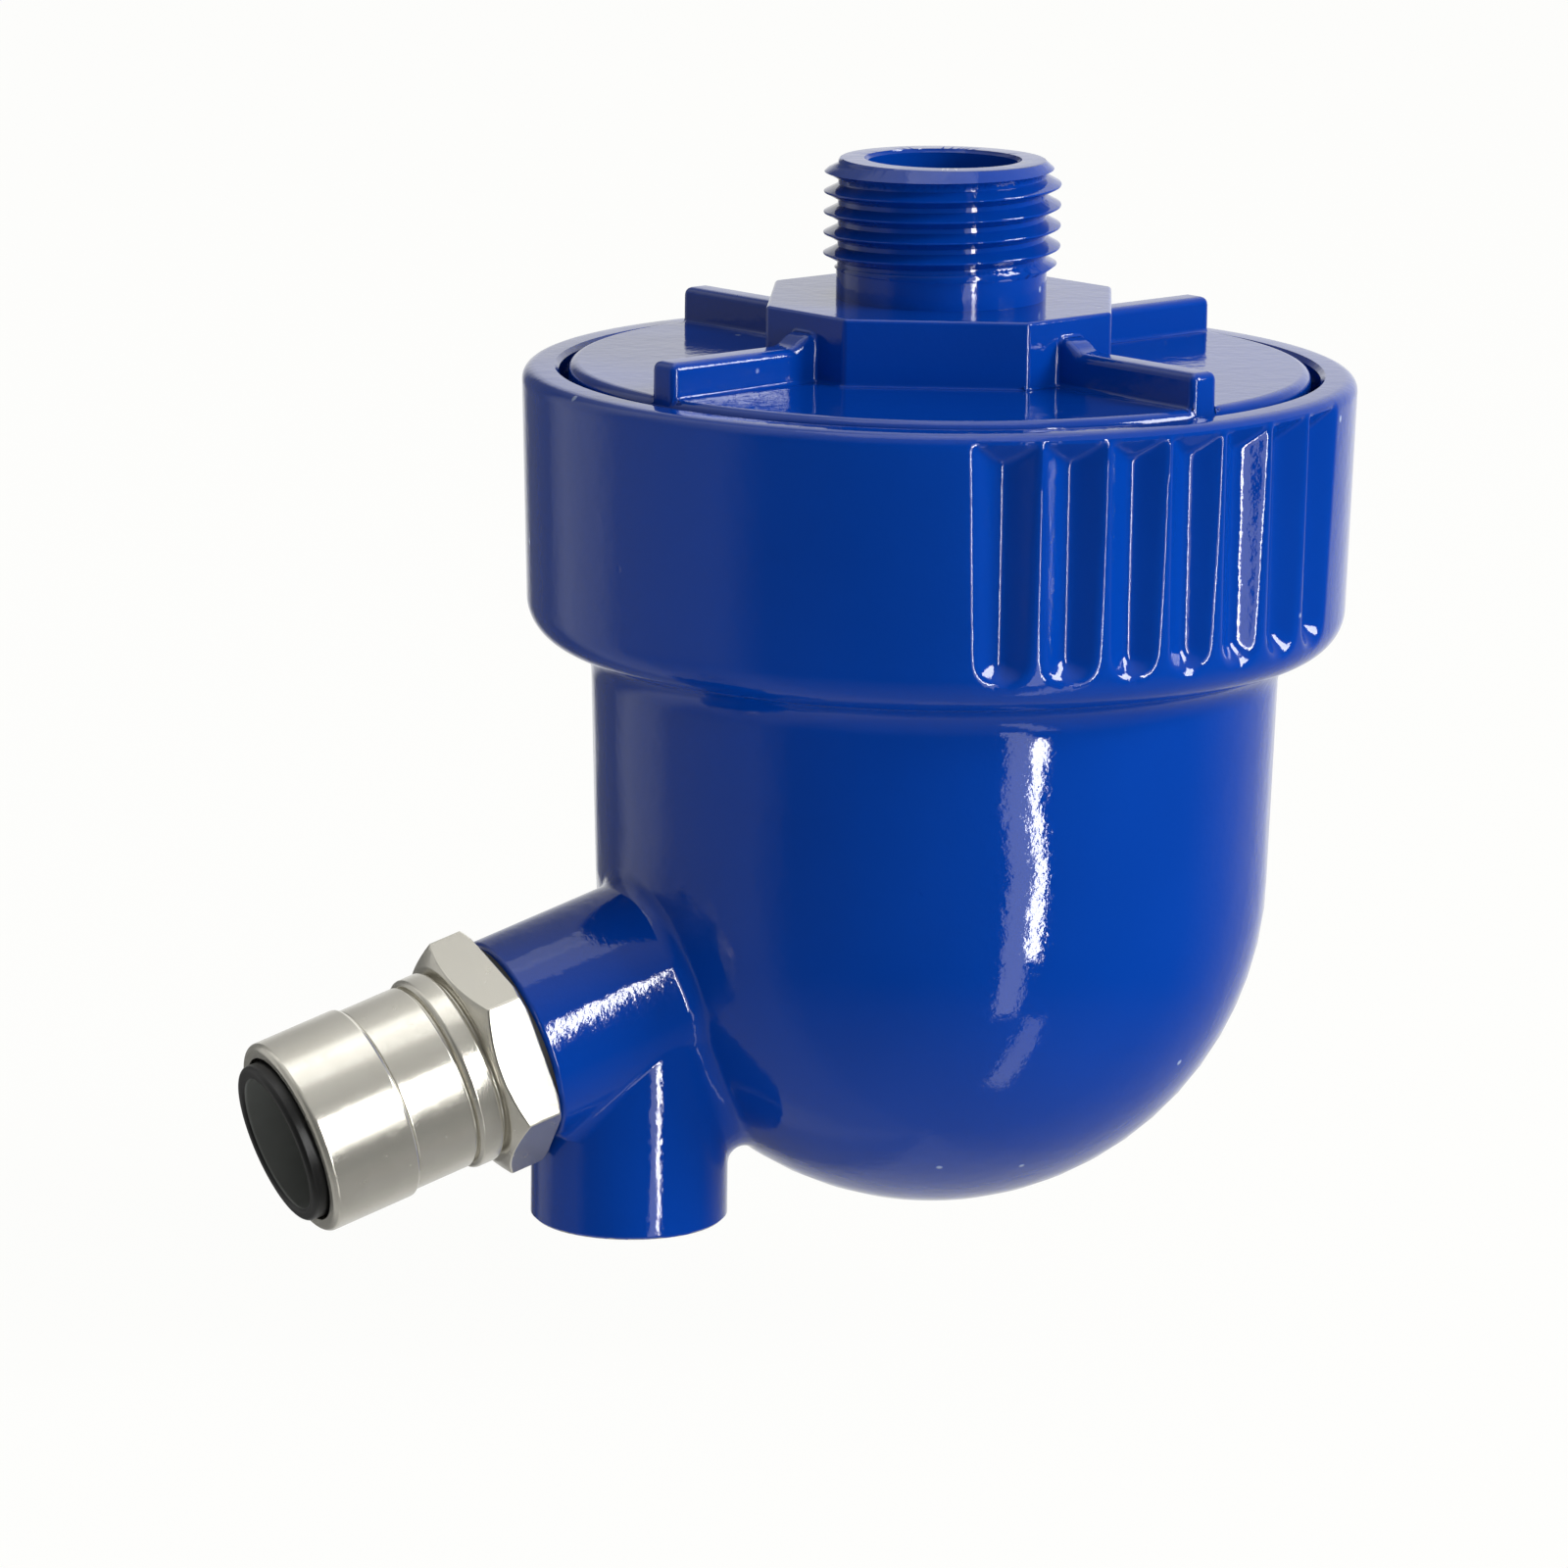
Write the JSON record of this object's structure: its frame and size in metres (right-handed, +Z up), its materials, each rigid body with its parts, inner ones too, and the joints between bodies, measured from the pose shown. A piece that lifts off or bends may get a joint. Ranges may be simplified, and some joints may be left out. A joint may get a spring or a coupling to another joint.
{
  "type": "automatic condensate drain valve",
  "caption": "Ball-float condensate drain: threaded inlet on a winged screw cover, round-bottomed bowl with grip flutes, and an inclined outlet boss with a push-in tube fitting.",
  "frame": {"origin": "on the inlet axis, at the lower end of the full inlet thread", "axes": "+Z up along the inlet axis, out of the inlet; the outlet boss lies in the XZ plane and points to -X and down"},
  "size_m": [0.1024, 0.0738, 0.094],
  "materials": {
    "blue_enamel": "glossy blue enamel over an aluminium casting, with slight orange peel",
    "nickel_plate": "bright nickel plate on turned brass",
    "stainless": "drawn and pressed stainless steel",
    "plain_brass": "turned brass",
    "seal_rubber": "black nitrile rubber",
    "black_acetal": "moulded black acetal, slightly shiny"
  },
  "bodies": {
    "head": {"cover": "blue_enamel", "inlet_strainer": "stainless", "strainer_retaining_ring": "stainless"},
    "seal_ring": {"cover_seal": "seal_rubber"},
    "bowl": {"bowl": "blue_enamel", "port_plug": "plain_brass", "valve_seat": "plain_brass", "seat_washer": "seal_rubber", "pivot_bracket": "stainless", "pivot_pin": "stainless", "pin_clips": "stainless", "fitting_face_seal": "seal_rubber", "fitting_body": "nickel_plate", "tube_seal": "seal_rubber", "grip_ring": "stainless", "fitting_sleeve": "nickel_plate"},
    "float": {"lever_arm": "stainless", "valve_plug": "seal_rubber", "float_near_half": "stainless", "float_far_half": "stainless", "float_stud": "plain_brass", "float_nut": "plain_brass"},
    "collet": {"release_collet": "black_acetal"}
  },
  "joints": [
    {"name": "bowl_drop", "type": "slide", "parent": "head", "child": "seal_ring", "axis": [0, 0, -1], "range_m": [0, 0.0101]},
    {"name": "bowl_turn", "type": "hinge", "parent": "seal_ring", "child": "bowl", "pos_m": [0, 0, 0], "axis": [0, 0, -1], "range_deg": [0, 1800]},
    {"name": "float_swing", "type": "hinge", "parent": "bowl", "child": "float", "pos_m": [-0.01833, 0, -0.05156], "axis": [0, -1, 0], "range_deg": [0, 16]},
    {"name": "collet_press", "type": "slide", "parent": "bowl", "child": "collet", "axis": [0.9542, 0, 0.299], "range_m": [0, 0.001], "stiffness_N_per_m": 1500, "springref_m": -0.0005}
  ],
  "couplings": [
    {"joint": "bowl_drop", "follows": "bowl_turn", "m_per_rad": 0.00031831}
  ]
}
